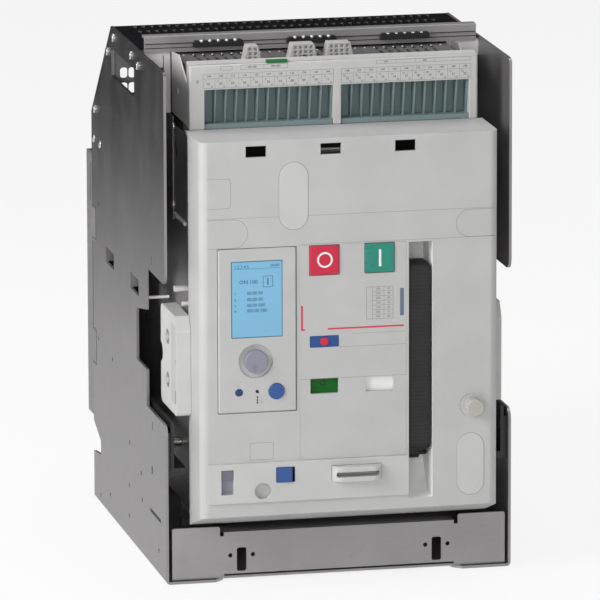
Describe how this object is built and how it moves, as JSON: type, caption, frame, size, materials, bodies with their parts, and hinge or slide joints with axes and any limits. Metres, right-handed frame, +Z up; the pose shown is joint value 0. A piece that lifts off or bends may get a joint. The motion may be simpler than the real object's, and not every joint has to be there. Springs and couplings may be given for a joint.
{
  "type": "draw-out air circuit breaker",
  "caption": "Draw-out low-voltage air circuit breaker racked into a sheet-steel chassis, with charging handle, push-buttons, trip unit and rear terminals.",
  "frame": {"origin": "centre of the four fixing holes on the underside of the chassis feet", "axes": "+X to the right seen from the front, +Y to the back where the terminals are, +Z up"},
  "size_m": [0.3274, 0.446, 0.4855],
  "materials": {
    "plate_steel": "zinc-plated sheet, dull",
    "dark_steel": "dark painted sheet, satin",
    "rail_steel": "drawn steel, lightly oiled",
    "bright_steel": "bright plated steel",
    "rivet_steel": "bright plated steel",
    "black_moulding": "glass-filled moulding, matt",
    "case_moulding": "glass-filled moulding, matt",
    "vent_moulding": "glass-filled moulding, matt",
    "cover_moulding": "fine-grained moulding",
    "panel_moulding": "fine-grained moulding",
    "fascia_moulding": "fine-grained moulding",
    "fin_moulding": "grey-green moulding",
    "plug_moulding": "light grey moulding",
    "grip_moulding": "grey moulding",
    "handle_moulding": "black moulding, satin",
    "red_button": "smooth, satin gloss",
    "green_button": "smooth, satin gloss",
    "blue_button": "smooth, satin gloss",
    "knob_moulding": "grey-violet moulding",
    "plunger_moulding": "warm grey moulding",
    "indicator_grey": "slate moulding",
    "flag_white": "printed flag",
    "flag_green": "printed flag",
    "screen": "backlit liquid crystal behind clear plastic",
    "copper": "silver-plated copper bar",
    "spring_steel": "oiled spring steel"
  },
  "bodies": {
    "chassis": {"side_plate_left": "plate_steel", "side_plate_right": "plate_steel", "base_tray": "plate_steel", "rear_panel": "plate_steel", "rear_base": "black_moulding", "fixed_terminals": "copper", "shutter_guides": "black_moulding", "top_cross_rail": "plate_steel", "top_mesh": "dark_steel", "contact_combs": "black_moulding", "corner_brackets": "plate_steel", "fixed_rails": "rail_steel", "chassis_rivets": "rivet_steel", "racking_nut": "bright_steel"},
    "upper_shutter_body": {"upper_shutter": "case_moulding"},
    "lower_shutter_body": {"lower_shutter": "case_moulding"},
    "rails": {"extension_rails": "rail_steel"},
    "breaker": {"breaker_sides": "dark_steel", "carriage_rollers": "bright_steel", "pole_case": "case_moulding", "conductor_bars": "copper", "isolating_jaws": "copper", "current_transformers": "black_moulding", "rear_cover": "case_moulding", "arc_chutes": "vent_moulding", "splitter_plates": "bright_steel", "front_cover": "cover_moulding", "cover_blanks": "panel_moulding", "fascia": "fascia_moulding", "protection_unit": "fascia_moulding", "lcd_screen": "screen", "handle_pin": "bright_steel", "lower_panel": "panel_moulding", "racking_beam": "dark_steel", "terminal_housing": "panel_moulding", "terminal_blocks": "fin_moulding", "auxiliary_plugs": "plug_moulding", "side_grips": "grip_moulding", "grip_screws": "rivet_steel", "mechanism_frame": "dark_steel", "closing_springs": "spring_steel"},
    "contact_set": {"main_shaft": "bright_steel", "moving_contacts": "copper"},
    "charging_set": {"charging_shaft": "bright_steel", "ratchet_wheel": "bright_steel"},
    "contact_indicator": {"contact_flag": "flag_green"},
    "charge_indicator": {"charge_flag": "flag_white"},
    "off_key": {"off_button": "red_button"},
    "on_key": {"on_button": "green_button"},
    "trip_reset_key": {"trip_reset_button": "red_button"},
    "test_key": {"test_button": "blue_button"},
    "reset_key": {"reset_button": "blue_button"},
    "plunger": {"release_plunger": "plunger_moulding"},
    "knob": {"nav_knob": "knob_moulding"},
    "handle": {"charging_handle": "handle_moulding"},
    "pointer": {"position_pointer": "indicator_grey"},
    "flap": {"crank_flap": "panel_moulding"},
    "slider": {"locking_slider": "blue_button"},
    "padlock": {"padlock_slide": "panel_moulding"},
    "screw": {"racking_screw": "bright_steel"}
  },
  "joints": [
    {"name": "rails_slide", "type": "slide", "parent": "chassis", "child": "rails", "axis": [0, -1, 0], "range_m": [0, 0.24]},
    {"name": "racking_slide", "type": "slide", "parent": "rails", "child": "breaker", "axis": [0, -1, 0], "range_m": [0, 0.06]},
    {"name": "screw_turn", "type": "hinge", "parent": "breaker", "child": "screw", "pos_m": [-0.0809, -0.175, 0.0945], "axis": [0, 1, 0], "range_deg": [0, 4320]},
    {"name": "upper_shutter_slide", "type": "slide", "parent": "chassis", "child": "upper_shutter_body", "axis": [0, 0, -1], "range_m": [0, 0.052]},
    {"name": "lower_shutter_slide", "type": "slide", "parent": "chassis", "child": "lower_shutter_body", "axis": [0, 0, 1], "range_m": [0, 0.052]},
    {"name": "pointer_slide", "type": "slide", "parent": "breaker", "child": "pointer", "axis": [0, 0, -1], "range_m": [0, 0.012]},
    {"name": "slider_push", "type": "slide", "parent": "breaker", "child": "slider", "axis": [1, 0, 0], "range_m": [0, 0.003]},
    {"name": "flap_turn", "type": "hinge", "parent": "breaker", "child": "flap", "pos_m": [-0.0559, -0.175, 0.0945], "axis": [0, 1, 0], "range_deg": [0, 45]},
    {"name": "padlock_pull", "type": "slide", "parent": "breaker", "child": "padlock", "axis": [0, -1, 0], "range_m": [0, 0.015]},
    {"name": "contact_turn", "type": "hinge", "parent": "breaker", "child": "contact_set", "pos_m": [0, -0.065, 0.165], "axis": [-1, 0, 0], "range_deg": [0, 20]},
    {"name": "contact_flag_slide", "type": "slide", "parent": "breaker", "child": "contact_indicator", "axis": [0, 0, 1], "range_m": [0, 0.0155]},
    {"name": "charging_turn", "type": "hinge", "parent": "breaker", "child": "charging_set", "pos_m": [0, -0.16, 0.15], "axis": [1, 0, 0], "range_deg": [0, 180]},
    {"name": "charge_flag_slide", "type": "slide", "parent": "breaker", "child": "charge_indicator", "axis": [0, 0, 1], "range_m": [0, 0.0155]},
    {"name": "off_press", "type": "slide", "parent": "breaker", "child": "off_key", "axis": [0, 1, 0], "range_m": [0, 0.004], "stiffness_N_per_m": 350},
    {"name": "on_press", "type": "slide", "parent": "breaker", "child": "on_key", "axis": [0, 1, 0], "range_m": [0, 0.004], "stiffness_N_per_m": 350},
    {"name": "trip_reset_press", "type": "slide", "parent": "breaker", "child": "trip_reset_key", "axis": [0, 1, 0], "range_m": [0, 0.003], "stiffness_N_per_m": 350},
    {"name": "test_press", "type": "slide", "parent": "breaker", "child": "test_key", "axis": [0, 1, 0], "range_m": [0, 0.002], "stiffness_N_per_m": 350},
    {"name": "reset_press", "type": "slide", "parent": "breaker", "child": "reset_key", "axis": [0, 1, 0], "range_m": [0, 0.003], "stiffness_N_per_m": 350},
    {"name": "plunger_press", "type": "slide", "parent": "breaker", "child": "plunger", "axis": [0, 1, 0], "range_m": [0, 0.006], "stiffness_N_per_m": 350},
    {"name": "knob_turn", "type": "hinge", "parent": "breaker", "child": "knob", "pos_m": [-0.087, -0.175, 0.2146], "axis": [0, -1, 0], "continuous": true},
    {"name": "handle_pull", "type": "hinge", "parent": "breaker", "child": "handle", "pos_m": [0, -0.195, 0.118], "axis": [1, 0, 0], "range_deg": [0, 75], "stiffness_Nm_per_rad": 0.4}
  ],
  "couplings": [
    {"joint": "screw_turn", "follows": "racking_slide", "rad_per_m": 1256.6},
    {"joint": "upper_shutter_slide", "follows": "racking_slide", "ratio": 0.86667},
    {"joint": "lower_shutter_slide", "follows": "racking_slide", "ratio": 0.86667},
    {"joint": "pointer_slide", "follows": "racking_slide", "ratio": 0.2},
    {"joint": "flap_turn", "follows": "slider_push", "rad_per_m": 261.8},
    {"joint": "contact_flag_slide", "follows": "contact_turn", "m_per_rad": 0.044404},
    {"joint": "charge_flag_slide", "follows": "charging_turn", "m_per_rad": 0.004933}
  ]
}
